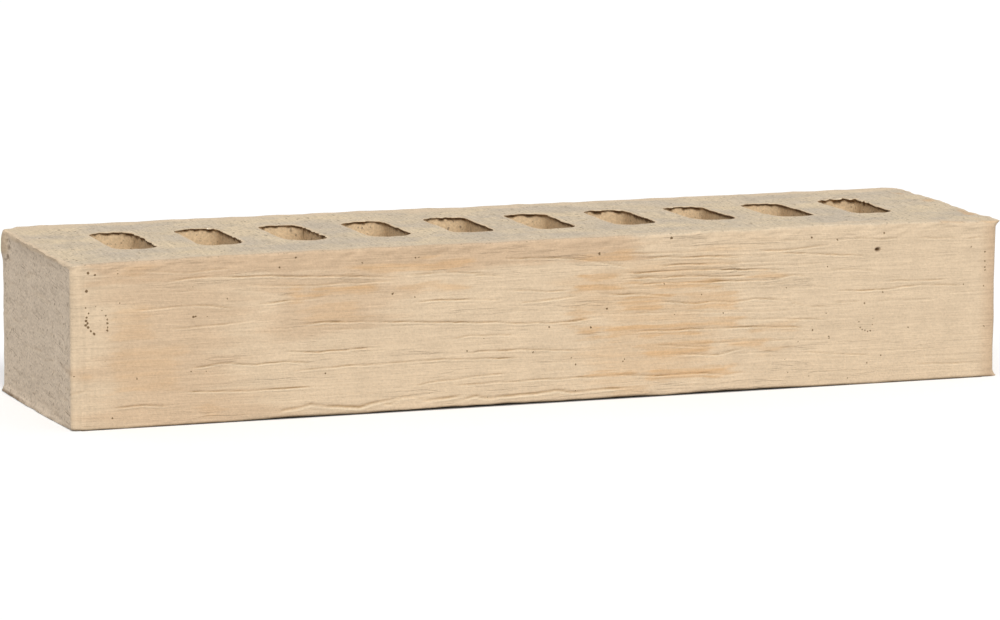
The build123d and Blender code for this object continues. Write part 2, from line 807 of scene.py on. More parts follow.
GRIT = (
    Fleck(-187.0, 53.7, 0.95), Fleck(-186.3, 60.6, 0.9), Fleck(-183.7, 59.8, 0.6),
    Fleck(-174.0, 48.5, 0.35), Fleck(-167.5, 19.2, 0.42), Fleck(-177.3, 4.3, 0.45),
    Fleck(-146.0, 20.7, 0.4), Fleck(-140.0, 20.5, 0.3), Fleck(-144.9, 41.8, 0.7),
    Fleck(-144.1, 41.9, 0.45), Fleck(-131.5, 48.2, 0.36), Fleck(-110.5, 59.2, 0.4),
    Fleck(-104.0, 62.8, 0.55), Fleck(-92.0, 17.0, 0.42), Fleck(-77.0, 59.4, 0.4),
    Fleck(-64.6, 46.8, 0.7), Fleck(-55.5, 45.1, 0.36), Fleck(-55.2, 60.5, 0.35),
    Fleck(-54.0, 60.5, 0.35), Fleck(-33.8, 22.7, 0.42), Fleck(-27.0, 27.3, 0.34),
    Fleck(0.4, 30.4, 0.42), Fleck(9.8, 17.6, 0.3), Fleck(21.3, 58.5, 0.8), Fleck(24.7, 36.3, 0.7),
    Fleck(31.6, 15.0, 0.45), Fleck(32.4, 15.8, 0.5), Fleck(49.0, 45.2, 0.42), Fleck(51.7, 63.3, 0.85),
    Fleck(53.5, 32.7, 0.36), Fleck(74.4, 32.2, 0.36), Fleck(112.5, 60.8, 0.48), Fleck(123.7, 59.3, 0.5),
    Fleck(144.2, 61.2, 0.42), Fleck(136.0, 33.0, 0.5), Fleck(113.3, 23.3, 0.42),
    Fleck(120.5, 20.3, 0.36), Fleck(120.6, 19.6, 0.36), Fleck(144.0, 37.2, 0.38),
    Fleck(155.5, 22.3, 0.42), Fleck(143.5, 11.5, 0.45), Fleck(137.5, 8.7, 0.42),
    Fleck(112.0, 4.5, 0.42), Fleck(103.0, 6.8, 0.36), Fleck(129.0, 3.0, 0.36), Fleck(183.0, 53.8, 0.42),
    Fleck(189.3, 51.4, 0.42), Fleck(189.3, 47.6, 0.4), Fleck(189.5, 45.2, 0.34),
    Fleck(189.5, 44.0, 0.36), Fleck(189.0, 37.5, 0.36), Fleck(189.4, 21.0, 0.4),
)


@dataclass(frozen=True)
class FiredBuffClay:
    """Unglazed buff clay, extruded, wire-cut and fired.

    It is dead matt and a little sandy. The extruded skin is a warm cream with fine lines along it,
    the wire-cut beds are greyer with lines across, the ends are grey with dark strokes, and the
    slots keep a deeper tan. Painted shade darkens its creases, pits, foot, slot rims, right slot
    walls and right front corner, and painted highlights lighten its crease lips and rim crumbs.
    """

    skin: str = "#E1C9AA"
    bed: str = "#C9BAA5"
    bed_cream: str = "#DCC8A9"
    end: str = "#E3D0B9"
    slot_tan: str = "#E9CEA7"
    blush: str = "#D8AE7E"
    # Kiln flash, also used as painted shade at the front's right corner
    flash: str = "#CCAB89"
    # Painted shade in the creases
    crease_brown: str = "#A5855C"
    # Painted highlight on crease lips and rim crumbs
    crease_cream: str = "#F1DFC1"
    stroke_grey: str = "#9A8771"
    # Stains, and the painted shade of pits, the foot and the slot rims
    stain: str = "#5A3E20"
    speck: str = "#7B6347"
    roughness: float = 0.92
    specular: float = 0.2
    sand: Pattern = Pattern(0.9, 0.9, 0.9, 2.0)
    crumb: Pattern = Pattern(1.7, 1.7, 1.7, 2.0)
    mottle: Pattern = Pattern(10.0, 10.0, 10.0, 5.0)
    patch: Pattern = Pattern(30.0, 22.0, 22.0, 5.0)
    streak: Pattern = Pattern(36.0, 36.0, 1.5, 4.0)
    hairline: Pattern = Pattern(9.0, 9.0, 0.5, 3.0)
    wrinkle: Pattern = Pattern(120.0, 120.0, 11.0, 4.5)
    fade: Pattern = Pattern(30.0, 30.0, 4.0, 3.0)
    smear: Pattern = Pattern(2.2, 2.2, 30.0, 3.0)
    stroke: Pattern = Pattern(13.0, 13.0, 0.6, 4.0, 0.0, 7.0)
    drag: Pattern = Pattern(1.3, 16.0, 16.0, 4.0, -4.0)
    scrape: Pattern = Pattern(1.5, 1.5, 14.0, 2.0)
    noise_roughness: float = 0.6
    flat_end: Spot = (0.65, 1.0)
    wrinkle_bands: float = 5.0
    wrinkle_width: float = 0.08
    ragged_mm: float = 0.7
    ragged_by_mm: float = 0.9
    fleck_soft_mm: float = 0.2
    fleck_scale: float = 0.55
    speck_spacing_mm: float = 6.0
    speck_radius_mm: float = 0.42
    speck_rarity: float = 3.0
    sand_bump_mm: float = 0.10
    streak_bump_mm: float = 0.24
    hairline_bump_mm: float = 0.16
    wrinkle_bump_mm: float = 0.16
    stroke_bump_mm: float = 0.18
    crumb_bump_mm: float = 0.14
    mottle_bump_mm: float = 0.4
    drag_bump_mm: float = 0.25
    flecks: tuple[Fleck, ...] = RUBBED_RING + FAINT_RING + GRIT
    face_mm: float = -51.0

    def material(self) -> bpy.types.Material:
        """Builds the clay's material.

        Returns:
            The material, with its colour and bump from nodes.
        """
        made = bpy.data.materials.new("fired_buff_clay")
        tree = empty_nodes(made)
        place = add_node(tree, "ShaderNodeTexCoord").outputs["Object"]
        amount = {}
        for tone in Tone:
            node = add_node(tree, "ShaderNodeAttribute", attribute_name=tone.value)
            amount[tone.value] = node.outputs["Fac"]
        noise = self.noises(tree, place)
        self.grade(tree, amount, noise)
        colour = self.shaded(tree, amount, noise, self.coated(tree, amount))
        colour = self.flecked(tree, place, amount, colour)
        bump = {"Height": self.relief(tree, amount, noise), "Strength": 1.0, "Distance": 1.0}
        surface = {
            "Base Color": colour,
            "Roughness": self.roughness,
            "Specular IOR Level": self.specular,
            "Normal": add_node(tree, "ShaderNodeBump", bump).outputs["Normal"],
        }
        shader = add_node(tree, "ShaderNodeBsdfPrincipled", surface)
        add_node(tree, "ShaderNodeOutputMaterial", {"Surface": shader.outputs["BSDF"]})
        return made

    def noises(self, tree: Tree, place: Socket) -> Sockets:
        """Adds every noise of the clay.

        Args:
            tree: The material's nodes.
            place: Where on the brick a point is.

        Returns:
            Each noise by its name, from 0 to 1.
        """
        made = {}
        for item in fields(self):
            pattern = getattr(self, item.name)
            if not isinstance(pattern, Pattern):
                continue
            laid = {
                "Vector": place,
                "Rotation": (math.radians(pattern.lean_deg), 0.0, math.radians(pattern.turn_deg)),
                "Scale": (pattern.x * MM, pattern.y * MM, pattern.z * MM),
            }
            run = add_node(tree, "ShaderNodeMapping", laid, vector_type="TEXTURE").outputs["Vector"]
            wanted = {"Vector": run, "Scale": 1.0, "Detail": pattern.detail}
            wanted["Roughness"] = self.noise_roughness
            made[item.name] = add_node(tree, "ShaderNodeTexNoise", wanted).outputs["Fac"]
        return made

    def grade(self, tree: Tree, amount: Sockets, noise: Sockets) -> None:
        """Works out how much of each mark a point has, from its tones and the noises.

        Args:
            tree: The material's nodes.
            amount: How much of each tone a point has. The marks are added to it.
            noise: The noises of the clay.
        """
        bed, end, bore = (amount[t.value] for t in (Tone.BED, Tone.END, Tone.BORE))
        cut = computed(tree, "MAXIMUM", bed, end)
        other = computed(tree, "MAXIMUM", cut, bore)
        skin = computed(tree, "SUBTRACT", 1.0, other)
        flat = graded(tree, end, self.flat_end)
        amount.update(cut=cut, skin=skin, rough=other, flat=flat)
        grades = {
            "blushed": (noise["streak"], (0.40, 0.60), 0.55, amount[Tone.BLUSH.value]),
            "faded": (noise["fade"], (0.46, 0.60), 0.0, amount[Tone.LINED.value]),
            "stroked": (noise["stroke"], (0.59, 0.78), 0.0, flat),
            "crumbed": (noise["crumb"], (0.62, 0.74), 0.0, other),
            "gritty": (noise["crumb"], (0.615, 0.71), 0.0, bed),
            "creamy": (noise["patch"], (0.40, 0.62), 0.0, bed),
        }
        for name, (value, span, least, where) in grades.items():
            amount[name] = computed(tree, "MULTIPLY", graded(tree, value, span, (least, 1.0)), where)
        bands = computed(tree, "MULTIPLY", noise["wrinkle"], self.wrinkle_bands)
        bands = computed(tree, "PINGPONG", bands, 0.5)
        span = (0.0, self.wrinkle_width)
        line = graded(tree, bands, span, (1.0, 0.0), interpolation_type="SMOOTHSTEP")
        amount["wrinkled"] = computed(tree, "MULTIPLY", line, amount["faded"])

    def coated(self, tree: Tree, amount: Sockets) -> Socket:
        """Lays the clay's colours over each other.

        Args:
            tree: The material's nodes.
            amount: How much of each tone and mark a point has.

        Returns:
            The colour, before its fine shades.
        """
        colour = hex_to_linear(self.skin)
        coats = (
            (Tone.BED.value, self.bed),
            ("creamy", self.bed_cream),
            (Tone.END.value, self.end),
            (Tone.BORE.value, self.slot_tan),
            # Kiln flash, and painted shade at the front's right corner
            (Tone.FLASH.value, self.flash),
            ("blushed", self.blush),
            ("stroked", self.stroke_grey),
            ("crumbed", self.stroke_grey),
            ("gritty", self.stroke_grey),
            # Painted highlight on crease lips and rim crumbs
            (Tone.PUSHED.value, self.crease_cream),
            # Painted shade in the creases
            (Tone.HOLLOW.value, self.crease_brown),
        )
        for name, paint in coats:
            colour = blended(tree, amount[name], colour, hex_to_linear(paint))
        return colour

    def shaded(self, tree: Tree, amount: Sockets, noise: Sockets, colour: Socket) -> Socket:
        """Makes the colour a little lighter and darker with each noise.

        Args:
            tree: The material's nodes.
            amount: How much of each tone and mark a point has.
            noise: The noises of the clay.
            colour: The colour so far.

        Returns:
            The shaded colour.
        """
        shades = (
            (noise["streak"], (0.3, 0.7), (0.955, 1.035), amount["skin"]),
            (noise["hairline"], (0.3, 0.7), (0.95, 1.04), amount["skin"]),
            (noise["smear"], (0.3, 0.7), (0.92, 1.06), amount[Tone.SMEAR.value]),
            (noise["mottle"], (0.3, 0.7), (0.94, 1.04), 1.0),
            (noise["sand"], (0.3, 0.7), (0.93, 1.06), 1.0),
            (noise["sand"], (0.3, 0.7), (0.90, 1.08), amount["rough"]),
            (noise["drag"], (0.35, 0.65), (0.90, 1.07), amount[Tone.BED.value]),
            (noise["scrape"], (0.35, 0.65), (0.96, 1.02), amount[Tone.BORE.value]),
            # Painted shade along the fine wrinkle lines
            (amount["wrinkled"], (0.0, 1.0), (1.0, 0.90), 1.0),
        )
        for value, span, to, where in shades:
            colour = blended(tree, where, colour, graded(tree, value, span, to), "MULTIPLY")
        return colour

    def flecked(self, tree: Tree, place: Socket, amount: Sockets, colour: Socket) -> Socket:
        """Scatters grit over the clay, sets the listed main grains of the front, and adds the stains and
        painted shade.

        Args:
            tree: The material's nodes.
            place: Where on the brick a point is.
            amount: How much of each tone and mark a point has.
            colour: The colour so far.

        Returns:
            The colour with its dark grains, stains and painted shade.
        """
        rough = add_node(tree, "ShaderNodeTexNoise", {"Vector": place, "Scale": 1 / (self.ragged_mm * MM)})
        centred = {0: rough.outputs["Color"], 1: (-0.5, -0.5, -0.5)}
        jitter = add_node(tree, "ShaderNodeVectorMath", centred, operation="ADD").outputs["Vector"]
        moved = {0: jitter, 1: (self.ragged_by_mm * MM,) * 3, 2: place}
        ragged = add_node(tree, "ShaderNodeVectorMath", moved, operation="MULTIPLY_ADD").outputs["Vector"]

        spaced = {"Vector": ragged, "Scale": 1 / (self.speck_spacing_mm * MM)}
        cells = add_node(tree, "ShaderNodeTexVoronoi", spaced)
        size = add_node(tree, "ShaderNodeSeparateColor", {"Color": cells.outputs["Color"]}).outputs["Red"]
        few_large = computed(tree, "POWER", size, self.speck_rarity)
        edge = computed(tree, "MULTIPLY", few_large, self.speck_radius_mm / self.speck_spacing_mm)
        chance = computed(tree, "LESS_THAN", cells.outputs["Distance"], edge)

        gap = 1.0
        for fleck in self.flecks:
            ends = {0: ragged, 1: (fleck.along * MM, self.face_mm * MM, fleck.up * MM)}
            away = add_node(tree, "ShaderNodeVectorMath", ends, operation="DISTANCE").outputs["Value"]
            past = computed(tree, "SUBTRACT", away, fleck.radius * self.fleck_scale * MM)
            gap = computed(tree, "MINIMUM", past, gap)
        by_hand = graded(tree, gap, (0.0, self.fleck_soft_mm * MM), (1.0, 0.0))
        # The last mark lays the stains and the painted shade
        marks = ((chance, self.speck), (by_hand, self.speck), (amount[Tone.STAIN.value], self.stain))
        for share, paint in marks:
            colour = blended(tree, share, colour, hex_to_linear(paint))
        return colour

    def relief(self, tree: Tree, amount: Sockets, noise: Sockets) -> Socket:
        """Adds up the relief that is too fine for the mesh.

        Args:
            tree: The material's nodes.
            amount: How much of each tone and mark a point has.
            noise: The noises of the clay.

        Returns:
            The height of a point, in metres.
        """
        rise = 0.0
        heights = (
            (noise["sand"], 1.0, self.sand_bump_mm),
            (noise["streak"], amount["skin"], self.streak_bump_mm),
            (noise["hairline"], amount["skin"], self.hairline_bump_mm),
            (amount["wrinkled"], 1.0, -self.wrinkle_bump_mm),
            (amount["stroked"], 1.0, -self.stroke_bump_mm),
            (noise["crumb"], 1.0, self.crumb_bump_mm),
            (noise["mottle"], amount["cut"], self.mottle_bump_mm),
            (noise["drag"], amount[Tone.BED.value], self.drag_bump_mm),
        )
        for value, where, tall in heights:
            part = computed(tree, "MULTIPLY", value, where)
            rise = computed(tree, "MULTIPLY_ADD", part, tall * MM, rise)
        return rise


@dataclass(frozen=True)
class Lip:
    """The sweep of clay that the cutting wire drags out along one edge of an end, in mm."""

    reach: float
    height: float

    def offset(self, from_edge: Array) -> Array:
        """How far the end stands out.

        Args:
            from_edge: Distances down, or up, from the bed face.

        Returns:
            One outward distance for each.
        """
        radius = (self.height**2 + self.reach**2) / (2 * self.reach)
        rise = np.clip(self.height - from_edge, 0.0, self.height)
        return radius - np.sqrt(radius**2 - rise**2)


@dataclass
class FacingBrick:
    """The whole brick, in mm, built as one closed skin over its CAD solid."""

    height: float
    depth: float
    overall_length: float
    slot_centres: tuple[Spot, ...]
    slot_width: float = 18.5
    slot_depth: float = 44.0
    slot_corner: float = 7.0
    front_edge: float = 3.5
    back_edge: float = 7.0
    bed_edge: float = 1.2
    upper_lip: Lip = Lip(1.9, 4.5)
    lower_lip: Lip = Lip(1.2, 3.2)
    left_skew: float = 2.2
    crumbled_rim: float = 0.9
    # The pinhole is darkened inside as painted shade
    pinhole: Dent = Dent(141.5, 54.6, 0.8, 1.2, 1.0, 1.5)
    corner_stain: Dent = Dent(196.0, 64.0, 1.0, 0.0, 0.75, 1.2)
    front_step: float = 1.8
    row_step: float = 0.34
    end_step: float = 2.0
    back_step: float = 5.0
    arc_steps: int = 6
    edge_rows: int = 4
    top_step: float = 1.6
    under_step: float = 6.0
    slot_side_step: float = 1.1
    slot_arc_steps: int = 10
    seed: int = 41
    draft: MeshDraft = field(default_factory=MeshDraft)

    # Extra columns at the pinhole, in radii either side
    HOLE_REACH = 2.6
    HOLE_COLUMNS = 11

    # Flap of clay at the back left corner, its marks in mm from that corner, and dents in the ends
    # The flap's dark marks are partly stains and partly a painted shadow under the flap
    FLAP_MARKS = (
        Dent(7.0, 59.0, 5.0, -0.8, 0.25, 1.5),
        Dent(14.0, 61.6, 0.7, 0.3, 0.7, 1.3),
        Dent(16.0, 59.0, 1.0, 0.3, 0.75, 1.3),
        Dent(13.2, 57.2, 0.6, 0.2, 0.6, 1.4),
        Dent(15.0, 55.0, 1.1, 0.4, 0.8, 1.3),
        Dent(11.5, 53.4, 0.8, 0.3, 0.7, 1.6),
        Dent(11.0, 51.0, 1.0, 0.1, 0.45, 1.2),
        Dent(3.0, 55.8, 0.9, 0.2, 0.75, 1.3),
    )
    END_DENTS = 12

    # Relief of the outside
    LIP_UNEVEN = Ripple(0.25, 8.0, shift_across=3.5)
    SKIN_WAVE = Ripple(0.30, 70.0, 28.0)
    SKIN_LINES = Ripple(0.04, 26.0, 1.9, layers=2)
    TORN_TOP = Ramp(8.0, 3.0)
    TORN_RIDGES = Ripple(0.28, 8.0, 2.4)
    TORN_CRUMBS = Ripple(0.24, 5.0, 2.4, 7.0)
    TEAR_WAY = (0.86, 0.5)
    FLAT_END = Ramp(0.9, 1.0)
    END_SCORES = Ripple(0.11, 6.0, 1.8)
    SCORE_SLOPE = 0.27
    RIM_TOP = Ramp(5.0, 2.0)
    RIM_LUMPS = Ripple(0.5, 4.5, 2.0, 5.0)
    SMOOTH_FOOT = Ramp(0.0, 1.5)
    JAGS = Ripple(1.0, 8.0, shift_across=8.5)
    JAG_HEIGHT = 0.2
    BACK_JAG_HEIGHT = 0.06
    LIFT_TOP = Ramp(4.0, 0.0)
    LIFT_FOOT = Ramp(8.0, 0.0)

    # Tones of the outside
    RAGGED = Ripple(0.8, 8.0, 5.0, 3.0)
    END_EDGE = Ramp(0.3, 0.5, 0.0, 0.6)
    END_FRAY = 0.15
    END_FLAT = 0.4
    PALE_RIM = Ramp(1.6, 2.8, 0.25, 1.0)
    RIM_FRAY = 1.2
    BED_ROLL = Ramp(1.0, -0.2, 0.0, 0.75)
    BED_FRAY = 0.4
    BACK_LINED = 0.8
    FLAP_SIDE = Ramp(17.0, 13.0)
    FLAP_FOOT = Ramp(55.0, 56.5, 0.0, 0.8)
    CORNER_SMEAR = Ramp(17.0, 11.0)
    # Painted shade on the front's right corner, in the flash colour
    FLASH_START = Ramp(-9.0, -3.0)
    FLASH_STOP = Ramp(14.0, 4.0)
    FLASH_TOP = Ramp(0.0, 4.0, 0.0, 0.5)
    # Painted contact shadow along the foot of the front, the back and the left end
    FOOT_GRIME = Ripple(0.7, 14.0, shift_across=21.5)
    FOOT_MEAN = 0.7
    FOOT_RANGE = (0.15, 1.0)
    FOOT_TOP = Ramp(1.0, 0.3, 0.0, 0.7)
    FOOT_BACK = Ramp(-45.0, -85.0, 0.5, 1.0)
    STROKES = Ripple(1.0, 7.0, 1.7, 11.0)
    STROKE_SLOPE = 0.4
    STROKE_EDGE = Ramp(0.3, 0.55, 0.0, 0.16)

    # Upper bed
    BED_WAVE = Ripple(0.24, 46.0, 30.0, shift_across=9.0)
    BED_LUMPS = Ripple(0.2, 7.0, 12.0, shift_across=4.0)
    WORN_CORNER = Ramp(7.5, 0.0, 0.0, 2.6)
    RUBBLE = Ripple(1.5, 3.2, 3.2)
    RUBBLE_FROM_SLOT = (6.0, 14.0)
    RUBBLE_REACH = 11.0
    CROWN_FRONT = Ramp(5.0, -45.0)
    BLUSH_SPOTS = Ripple(1.0, 9.0, 13.0, 2.0)
    SPOT_EDGE = Ramp(0.1, 0.45)
    BLUSH_END = Ramp(-9.0, -4.0, 0.0, 0.8)
    BED_PATCHES = Ripple(1.0, 16.0, 12.0, shift_across=31.0)
    PALE_FRONT = Ramp(5.0, 8.0, 0.5, 1.0)
    PALE_BACK = Ramp(6.0, 11.0, 0.3, 1.0)
    PALE_LEFT = Ramp(3.0, 9.0, 0.75, 1.0)
    FRONT_PATCH, BACK_PATCH, LEFT_PATCH = 3.0, 6.0, 5.0

    # Lower bed, whose front is bowed up off the floor: places along it and heights
    BOW = (
        (-160, -125, -107, -92, -75, -55, -15, 0, 12, 38, 50, 65, 95, 115, 140),
        (0.0, 0.2, 0.6, 0.4, 0.3, 0.7, 0.8, 0.5, 0.6, 0.6, 0.3, 0.7, 0.6, 0.1, 0.0),
    )
    BOW_FRONT = Ramp(-30.0, -46.0)
    BOW_UNEVEN = Ripple(0.25, 9.0, 60.0)
    BOW_LEAST = 0.3
    LEFT_OFF_FLOOR = Ramp(8.0, 2.0, 0.0, 0.35)

    # Slots: rows of points by depth, the burr and tan of their walls, the painted shadow under their rims and
    # the painted shade on their right walls
    SLOT_ROWS = (0.0, 0.2, 0.45, 0.75, 1.1, 1.5, 2.1, 3.0, 5.0, 9.0, 16.0, 25.0, 35.0, 45.0, 54.0, 61.0)
    FINE_DEPTH = 6.0
    NOISE_ROW, NOISE_ROW_STEP = 0.3, 11.7
    ROUGH_SLOTS = 3
    ROUGH_WALL, SMOOTH_WALL = (0.2, 1.0), (0.75, 0.2)
    DRAG_WAY = (-0.85, -1.0)
    RIM_RAG = Ripple(1.0, 2.1)
    BURR_LEAST, BURR_DRAGGED, BURR_MEAN, BURR_RAG, LAST_BURR = 0.05, 0.8, 0.7, 1.25, 1.5
    BURR_PROFILE = ((0, 0.2, 0.45, 0.75, 1.1, 2.1, 5.0), (0.85, 1, 0.7, -0.1, -0.4, -0.3, 0))
    WALL_GROOVES = Ripple(0.12, 2.2, shift_across=4.0)
    GROOVE_TOP = Ramp(0.0, 3.0)
    RIM_LIFT = 3.0
    # Streaks where the painted shadow reaches further down the right walls
    DRIPS = Ripple(1.0, 1.7, shift_across=8.0)
    DRIP_EDGE = Ramp(0.5, 0.8)
    # Painted shadow under the rim: how far down it reaches, further on the right walls
    GRIME_RAG, GRIME_LEAST, GRIME_RIGHT, GRIME_DRIP = 0.8, 0.4, 0.4, 2.5
    RIM_GRIME = Ripple(0.6, 2.6, shift_across=2.0)
    RIM_RANGE, RIM_DRAGGED = (0.6, 1.1), 1.8
    RIM_DARK = ((0.05, 0.28, 0.85, 1.35), (0, 1, 0.85, 0))
    RIM_STAIN = 0.9
    TAN_TOP = Ramp(0.0, 0.6)
    TAN_RIM, GREY_RIM = 0.5, 0.4
    CRUMB_EDGE = Ramp(0.05, 0.35, 0.0, 0.7)
    CRUMB_DEPTH = 0.45
    # Painted shade on the right walls, below the rim
    WALL_SHADE = Ramp(0.0, 1.2, 0.0, 0.2)

    # Points inside a bed, in steps from its rims, and what counts as one point, in mm
    CLEAR_OF_RIM = 0.7
    SAME_POINT = 1e-6

    def __post_init__(self) -> None:
        """Works out the sizes that follow from the others."""
        self.length = self.overall_length - 2 * max(self.upper_lip.reach, self.lower_lip.reach)
        self.grain = Grain(self.seed)
        self.dice = np.random.default_rng(self.seed)

    def plan(self) -> Outline:
        """The outline of the brick seen from above, from the middle of the back round.

        Returns:
            The outline, with fine columns on the front alone.
        """
        half_l, half_d = self.length / 2, self.depth / 2
        front, back = self.front_edge, self.back_edge
        front_run = self.length - 2 * front
        half_back = even_shares(half_l - back, self.back_step)
        ends = even_shares(self.depth - front - back, self.end_step)
        about = self.pinhole.radius * np.linspace(-self.HOLE_REACH, self.HOLE_REACH, self.HOLE_COLUMNS)
        hole = (self.pinhole.along + front_run / 2 + about) / front_run
        faces = np.union1d(even_shares(front_run, self.front_step), hole)
        steps = self.arc_steps
        made = Outline()
        made.run((0, half_d), (-half_l + back, half_d), half_back, Side.BACK)
        made.turn((-half_l + back, half_d - back), back, 90, steps)
        made.run((-half_l, half_d - back), (-half_l, -half_d + front), ends, Side.LEFT)
        made.turn((-half_l + front, -half_d + front), front, 180, steps, True)
        made.run((-half_l + front, -half_d), (half_l - front, -half_d), faces, Side.FRONT, True)
        made.turn((half_l - front, -half_d + front), front, 270, steps, True)
        made.run((half_l, -half_d + front), (half_l, half_d - back), ends, Side.RIGHT)
        made.turn((half_l - back, half_d - back), back, 0, steps)
        made.run((half_l - back, half_d), (0, half_d), half_back, Side.BACK)
        return made

    def unrolled(self, spots: Array) -> Array:
        """How far round the brick each column stands from the middle of the front.

        Args:
            spots: The columns in plan.

        Returns:
            One distance for each. On the front it is the column's own x.
        """
        legs = np.linalg.norm(np.diff(spots, axis=0), axis=1)
        along = np.concatenate(([0.0], np.cumsum(legs)))
        middle = np.argmin(np.abs(spots[:, 0]) + (spots[:, 1] > 0) * self.length)
        return along - along[middle] + spots[middle, 0]

    def rows(self) -> Array:
        """Heights of the rows of points up the outside, closer together at both beds.

        Returns:
            Heights from the lower bed up, an even number of steps apart.
        """
        arc = self.bed_edge * (1 - np.cos(np.linspace(0, np.pi / 2, self.edge_rows + 1)))
        steps = 2 * round((self.height - 2 * self.bed_edge) / self.row_step / 2)
        middle = np.linspace(self.bed_edge, self.height - self.bed_edge, steps + 1)
        return np.concatenate((arc[:-1], middle, self.height - arc[-2::-1]))

    def edge_profile(self, normals: Array, up: Array, along: Array) -> Array:
        """How far the outside stands out or in at the beds: dulled long edges, lips at the ends.

        Args:
            normals: The outward normal of each column.
            up: The height of each row.
            along: The place of each column.

        Returns:
            One outward distance for each row and column.
        """
        faces_out = normals[None, :, 1] ** 2
        ends_out = normals[None, :, 0] ** 2
        from_top = (self.height - up)[:, None]
        from_floor = up[:, None]
        inset = 0.0
        for gap in (from_top, from_floor):
            into = np.clip(self.bed_edge - gap, 0, self.bed_edge)
            inset = inset + self.bed_edge - np.sqrt(self.bed_edge**2 - into**2)
        uneven = 1.0 + self.LIP_UNEVEN.line(self.grain, along)[None, :]
        left, right = -self.length / 2, self.length / 2
        places = (left - self.depth, left - 55, left - 30, left, left + 20, right + 22, right + 26)
        worn = np.interp(along, places, (0, 1, 1, 0, 1, 1, 0.15))
        flush = np.interp(along, (left - 30, left, left + 20, right - 20, right), (1, 0, 1, 1, 1.4))
        skew = self.left_skew * np.interp(along, (left - self.depth, left - 4, left + 6), (0, 1, 1))
        upper = self.upper_lip.offset(from_top) * worn[None, :]
        lower = self.lower_lip.offset(from_floor) * flush[None, :]
        into = np.clip(self.crumbled_rim - from_top, 0, self.crumbled_rim)
        crumbled = self.crumbled_rim - np.sqrt(self.crumbled_rim**2 - into**2)
        cut_back = (skew[None, :] + crumbled) * (along < 0)
        return ends_out * ((upper + lower) * uneven - cut_back) - faces_out * inset

    def skin_sheet(self, along: Array, normals: Array, up: Array) -> Sheet:
        """The unrolled outside with all its marks.

        Args:
            along: The place of each column.
            normals: The outward normal of each column.
            up: The height of each row.

        Returns:
            The sheet, with its relief and tones.
        """
        sheet = Sheet(along, up)
        s, z = along[None, :], up[:, None]
        grain, tones = self.grain, sheet.tones
        on_front = np.clip(-normals[:, 1], 0, 1)[None, :] ** 2
        on_ends = normals[None, :, 0] ** 2
        on_faces = 1 - on_ends
        from_top = self.height - z
        past_left, past_right = s + self.length / 2, s - self.length / 2
        flat_end = self.FLAT_END.at(on_ends)
        torn = self.TORN_TOP.at(from_top) * on_front
        c, d = self.TEAR_WAY
        sheet.relief += self.SKIN_WAVE.over(grain, s, z)
        sheet.relief += on_faces * self.SKIN_LINES.over(grain, s, z)
        sheet.relief += torn * self.TORN_RIDGES.over(grain, s * c + z * d, z * c - s * d)
        sheet.relief += torn * self.TORN_CRUMBS.over(grain, s, z)
        sheet.relief += flat_end * self.END_SCORES.over(grain, s, z - self.SCORE_SLOPE * np.abs(s))
        sheet.relief += flat_end * self.RIM_TOP.at(from_top) * self.RIM_LUMPS.over(grain, s, z)

        ragged = self.RAGGED.over(grain, s, z)
        end = self.END_EDGE.at(on_ends + self.END_FRAY * ragged) + self.END_FLAT * flat_end
        tones[Tone.END] += end * self.PALE_RIM.at(from_top + self.RIM_FRAY * ragged)
        tones[Tone.END] *= 1 - self.FLAP_SIDE.at(past_left + self.depth) * self.FLAP_FOOT.at(z)
        tones[Tone.BED] += self.BED_ROLL.at(from_top - self.BED_FRAY * ragged) * on_faces
        tones[Tone.LINED] += self.lined(along)[None, :] * on_faces
        tones[Tone.SMEAR] += self.CORNER_SMEAR.at(past_left) * on_front
        # Painted shade on the front's right corner
        strip = self.FLASH_START.at(past_right) * self.FLASH_STOP.at(past_right)
        tones[Tone.FLASH] += strip * self.FLASH_TOP.at(from_top)
        # Painted contact shadow along the foot
        grimy = np.clip(self.FOOT_MEAN + self.FOOT_GRIME.line(grain, along), *self.FOOT_RANGE)[None, :]
        foot = on_faces + on_ends * (s < 0) * self.FOOT_BACK.at(past_left)
        tones[Tone.STAIN] += grimy * self.FOOT_TOP.at(z) * foot
        strokes = self.STROKES.over(grain, s, z - self.STROKE_SLOPE * np.abs(s))
        tones[Tone.STAIN] += self.STROKE_EDGE.at(strokes) * flat_end
        for crease in self.creases():
            crease.press(sheet, grain)
        for dent in self.dents():
            dent.press(sheet)
        for blush in FRONT_BLUSHES:
            blush.tint(sheet, grain)
        return sheet

    def lined(self, along: Array) -> Array:
        """How thick the fine drag lines lie: thickest right of the middle, none at the corners.

        Args:
            along: Places round the brick.

        Returns:
            A share from 0 to 1 for each place.
        """
        half_l = self.length / 2
        places = (-half_l, -half_l + 16, -half_l + 45, -60, 10, 60, 110, half_l - 50, half_l - 16, half_l)
        shares = (0.0, 0.15, 0.7, 0.85, 0.9, 1.0, 0.9, 0.5, 0.35, 0.0)
        on_back = self.BACK_LINED * (np.abs(along) > half_l + self.depth)
        return np.interp(along, places, shares) + on_back

